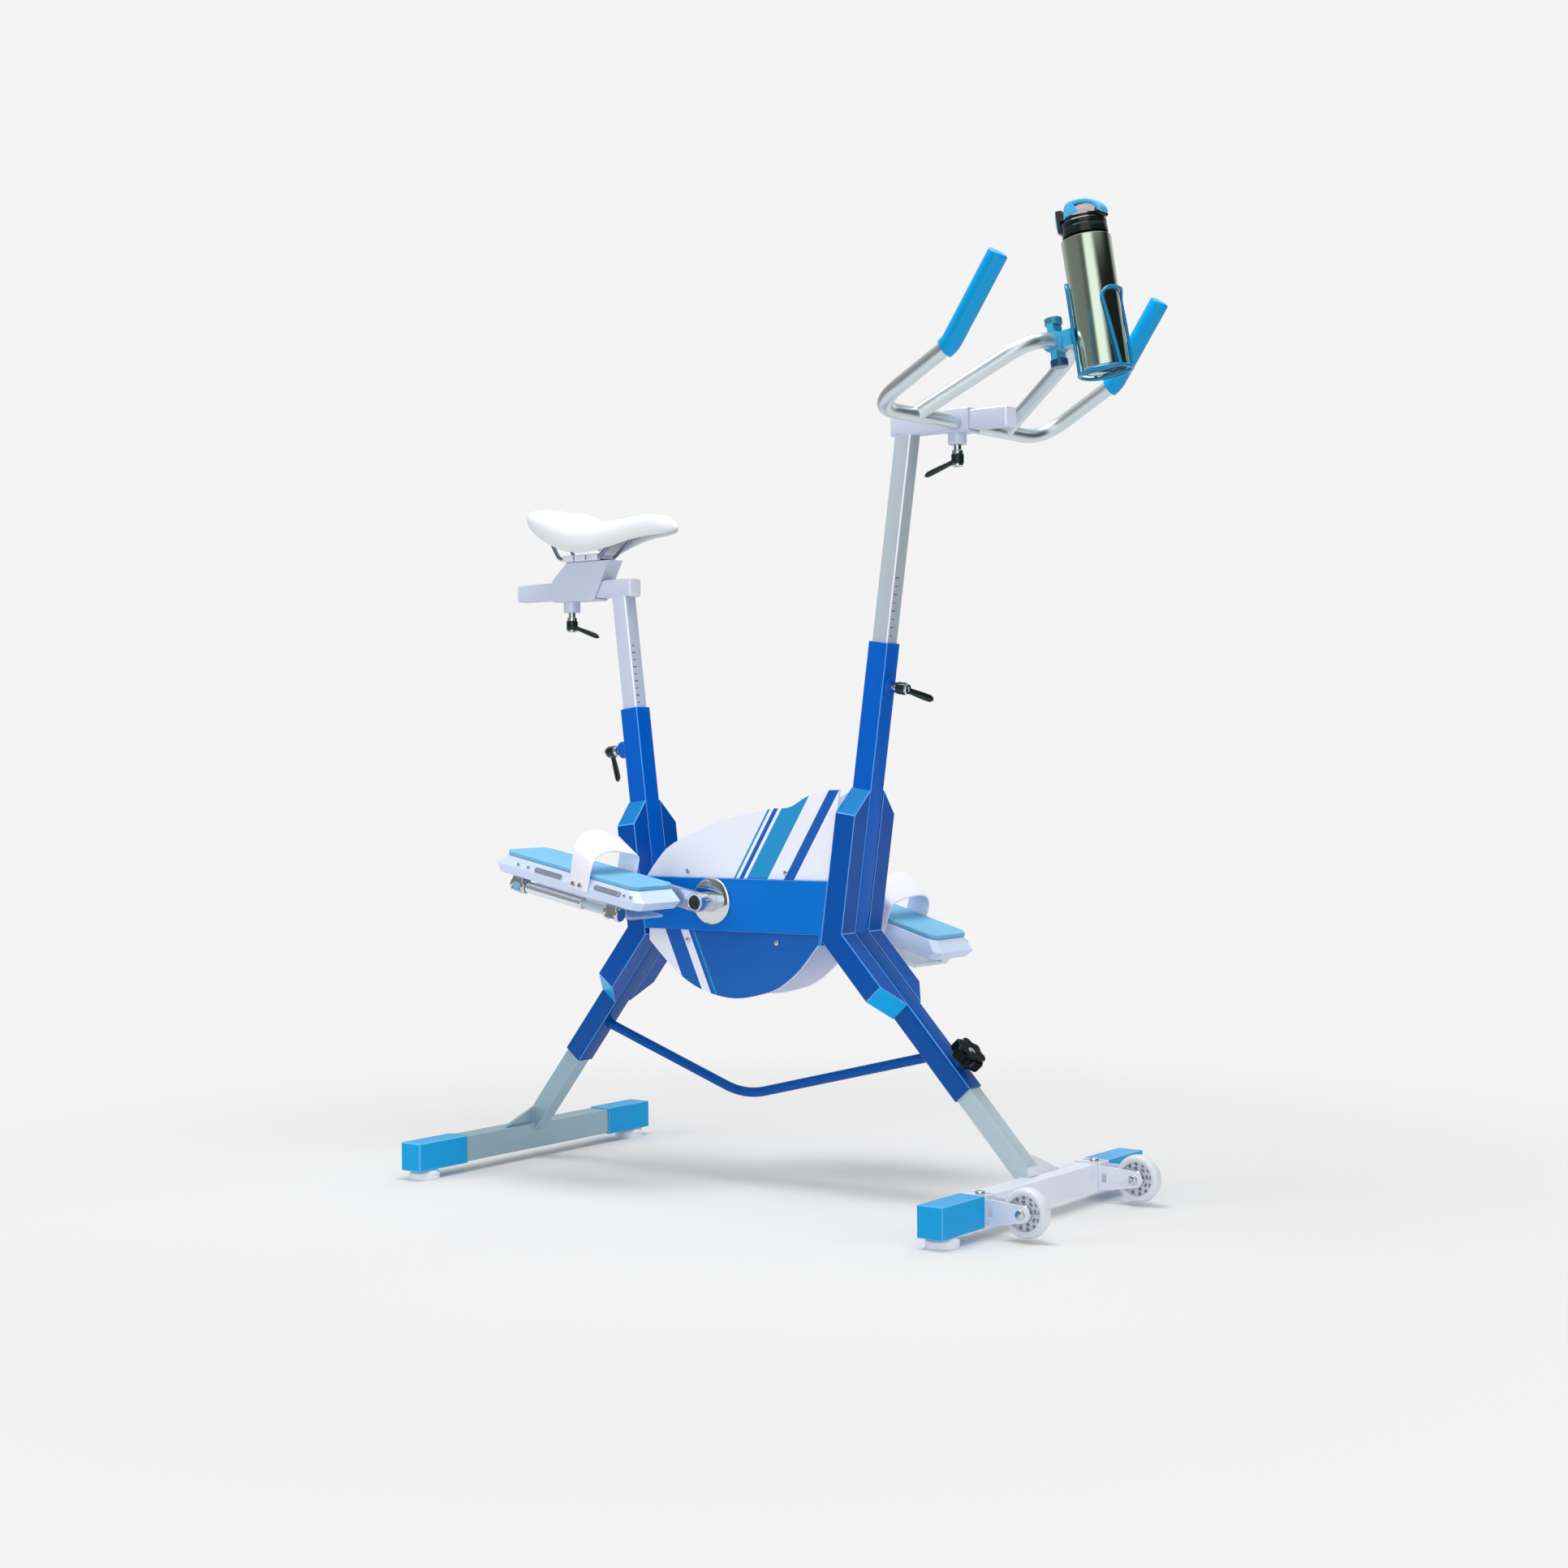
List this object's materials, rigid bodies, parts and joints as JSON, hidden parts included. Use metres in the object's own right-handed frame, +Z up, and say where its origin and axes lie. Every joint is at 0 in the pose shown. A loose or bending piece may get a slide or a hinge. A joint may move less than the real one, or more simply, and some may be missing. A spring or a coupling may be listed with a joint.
{
  "type": "aqua bike",
  "caption": "Stationary pool exercise bike: bent tube frame on two foot bars, crank with wide strapped pedals and resistance flaps, sliding saddle and handlebar, bottle in a wire cage",
  "frame": {"origin": "on the floor under the middle of the whole bike", "axes": "+X to the rider's front, +Y to the rider's left, +Z up"},
  "size_m": [1.3129, 0.64, 1.6394],
  "materials": {
    "frame_paint": "gloss blue powder coat, lighter on the chamfers",
    "cover_sheet": "smooth white sheet with blue fields and plain stripes",
    "post_steel": "satin pickled stainless tube",
    "fork_steel": "bright satin plate",
    "crank_chrome": "polished",
    "cap_plastic": "moulded sky blue plastic",
    "pad_rubber": "smooth white rubber",
    "wheel_plastic": "milky translucent plastic",
    "pedal_plastic": "moulded pale lavender plastic",
    "tread_rubber": "soft light blue tread sheet",
    "strap_plastic": "soft white moulded band",
    "hanger_steel": "polished stainless rod and blocks",
    "flap_clear": "clear plastic plate",
    "lever_plastic": "black moulded plastic",
    "rail_steel": "satin wire and clamp",
    "saddle_cover": "smooth white vinyl over foam",
    "bar_steel": "satin polished stainless tube",
    "grip_rubber": "smooth blue sleeve",
    "cage_paint": "sky blue coated wire and collar",
    "bottle_steel": "polished stainless vessel",
    "bottle_black": "black moulded plastic",
    "lid_blue": "light blue moulded plastic"
  },
  "bodies": {
    "frame": {"front_frame": "frame_paint", "rear_frame": "frame_paint", "main_beam": "frame_paint", "brace_tube": "frame_paint", "front_side_box_left": "frame_paint", "front_side_box_right": "frame_paint", "rear_side_box_left": "frame_paint", "rear_side_box_right": "frame_paint", "upper_cover_left": "cover_sheet", "upper_cover_right": "cover_sheet", "lower_cover_left": "cover_sheet", "lower_cover_right": "cover_sheet", "crank_bearing_left": "crank_chrome", "crank_bearing_right": "crank_chrome", "rear_foot_cap_left": "cap_plastic", "rear_foot_cap_right": "cap_plastic", "rear_foot_pad_left": "pad_rubber", "rear_foot_pad_right": "pad_rubber", "rear_foot": "post_steel"},
    "front_leg": {"front_foot": "post_steel", "front_foot_cap_left": "cap_plastic", "front_foot_cap_right": "cap_plastic", "front_foot_pad_left": "pad_rubber", "front_foot_pad_right": "pad_rubber", "wheel_fork_left": "fork_steel", "wheel_fork_right": "fork_steel"},
    "wheel_left": {"transport_wheel_left": "wheel_plastic"},
    "wheel_right": {"transport_wheel_right": "wheel_plastic"},
    "knob": {"leg_lock_knob": "lever_plastic"},
    "crank": {"crank_axle": "crank_chrome", "crank_arm_left": "crank_chrome", "crank_arm_right": "crank_chrome"},
    "pedal_left": {"pedal_body_left": "pedal_plastic", "pedal_tread_left": "tread_rubber", "foot_strap_left": "strap_plastic", "flap_hanger_left": "hanger_steel"},
    "pedal_right": {"pedal_body_right": "pedal_plastic", "pedal_tread_right": "tread_rubber", "foot_strap_right": "strap_plastic", "flap_hanger_right": "hanger_steel"},
    "flap_left": {"resistance_flap_left": "flap_clear"},
    "flap_right": {"resistance_flap_right": "flap_clear"},
    "seat_stem": {"seat_post": "post_steel"},
    "seat": {"saddle_carriage": "post_steel", "saddle_rails": "rail_steel", "saddle": "saddle_cover"},
    "seat_stem_lever": {"seat_post_lever": "lever_plastic"},
    "seat_slide_lever": {"saddle_slide_lever": "lever_plastic"},
    "bar_stem": {"handlebar_post": "post_steel"},
    "bars": {"handlebar": "bar_steel", "grip_left": "grip_rubber", "grip_right": "grip_rubber", "bottle_clamp": "cage_paint", "bottle_cage": "cage_paint"},
    "bar_stem_lever": {"handlebar_post_lever": "lever_plastic"},
    "bar_slide_lever": {"handlebar_slide_lever": "lever_plastic"},
    "bottle": {"bottle_body": "bottle_steel", "bottle_collar": "bottle_black"},
    "lid": {"bottle_lid": "lid_blue"},
    "latch": {"bottle_latch": "bottle_black"}
  },
  "joints": [
    {"name": "front_leg_slide", "type": "slide", "parent": "frame", "child": "front_leg", "axis": [0.6749, 0, -0.7379], "range_m": [-0.03, 0.09]},
    {"name": "knob_turn", "type": "hinge", "parent": "frame", "child": "knob", "pos_m": [0.32581, 0, 0.24008], "axis": [0.7379, 0, 0.6749], "continuous": true},
    {"name": "wheel_left_roll", "type": "hinge", "parent": "front_leg", "child": "wheel_left", "pos_m": [0.56128, 0.182, 0.045], "axis": [0, 1, 0], "continuous": true},
    {"name": "wheel_right_roll", "type": "hinge", "parent": "front_leg", "child": "wheel_right", "pos_m": [0.56128, -0.182, 0.045], "axis": [0, 1, 0], "continuous": true},
    {"name": "crank_spin", "type": "hinge", "parent": "frame", "child": "crank", "pos_m": [-0.14472, 0, 0.5], "axis": [0, 1, 0], "continuous": true},
    {"name": "pedal_left_spin", "type": "hinge", "parent": "crank", "child": "pedal_left", "pos_m": [0.04623, 0.1743, 0.46046], "axis": [0, 1, 0], "continuous": true},
    {"name": "pedal_right_spin", "type": "hinge", "parent": "crank", "child": "pedal_right", "pos_m": [-0.33566, -0.1743, 0.53954], "axis": [0, 1, 0], "continuous": true},
    {"name": "flap_left_swing", "type": "hinge", "parent": "pedal_left", "child": "flap_left", "pos_m": [0.04098, 0.2223, 0.42864], "axis": [0.9588, 0, -0.284], "range_deg": [0, 80]},
    {"name": "flap_right_swing", "type": "hinge", "parent": "pedal_right", "child": "flap_right", "pos_m": [-0.33807, -0.2223, 0.50738], "axis": [-0.9803, 0, 0.1977], "range_deg": [0, 80]},
    {"name": "seat_height", "type": "slide", "parent": "frame", "child": "seat_stem", "axis": [-0.1182, 0, 0.993], "range_m": [-0.12, 0.1]},
    {"name": "seat_fore_aft", "type": "slide", "parent": "seat_stem", "child": "seat", "axis": [1, 0, 0], "range_m": [-0.08, 0.03]},
    {"name": "seat_stem_lever_turn", "type": "hinge", "parent": "frame", "child": "seat_stem_lever", "pos_m": [-0.39557, 0, 0.76595], "axis": [-0.993, 0, -0.1182], "range_deg": [0, 90]},
    {"name": "seat_slide_lever_turn", "type": "hinge", "parent": "seat", "child": "seat_slide_lever", "pos_m": [-0.51372, 0, 1.022], "axis": [0, 0, -1], "range_deg": [0, 90]},
    {"name": "bar_height", "type": "slide", "parent": "frame", "child": "bar_stem", "axis": [0.1451, 0, 0.9894], "range_m": [-0.25, 0.08]},
    {"name": "bar_fore_aft", "type": "slide", "parent": "bar_stem", "child": "bars", "axis": [1, 0, 0], "range_m": [-0.025, 0.065]},
    {"name": "bar_stem_lever_turn", "type": "hinge", "parent": "frame", "child": "bar_stem_lever", "pos_m": [0.19656, 0, 0.86811], "axis": [0.9894, 0, -0.1451], "range_deg": [0, 90]},
    {"name": "bar_slide_lever_turn", "type": "hinge", "parent": "bars", "child": "bar_slide_lever", "pos_m": [0.33328, 0, 1.264], "axis": [0, 0, -1], "range_deg": [0, 90]},
    {"name": "bottle_lift", "type": "slide", "parent": "bars", "child": "bottle", "axis": [-0.1564, 0, 0.9877], "range_m": [0, 0.25]},
    {"name": "lid_flip", "type": "hinge", "parent": "bottle", "child": "lid", "pos_m": [0.60943, 0, 1.60464], "axis": [0, 1, 0], "range_deg": [0, 90]},
    {"name": "latch_flip", "type": "hinge", "parent": "bottle", "child": "latch", "pos_m": [0.53894, 0, 1.5792], "axis": [0, 1, 0], "range_deg": [-35, 0]}
  ]
}
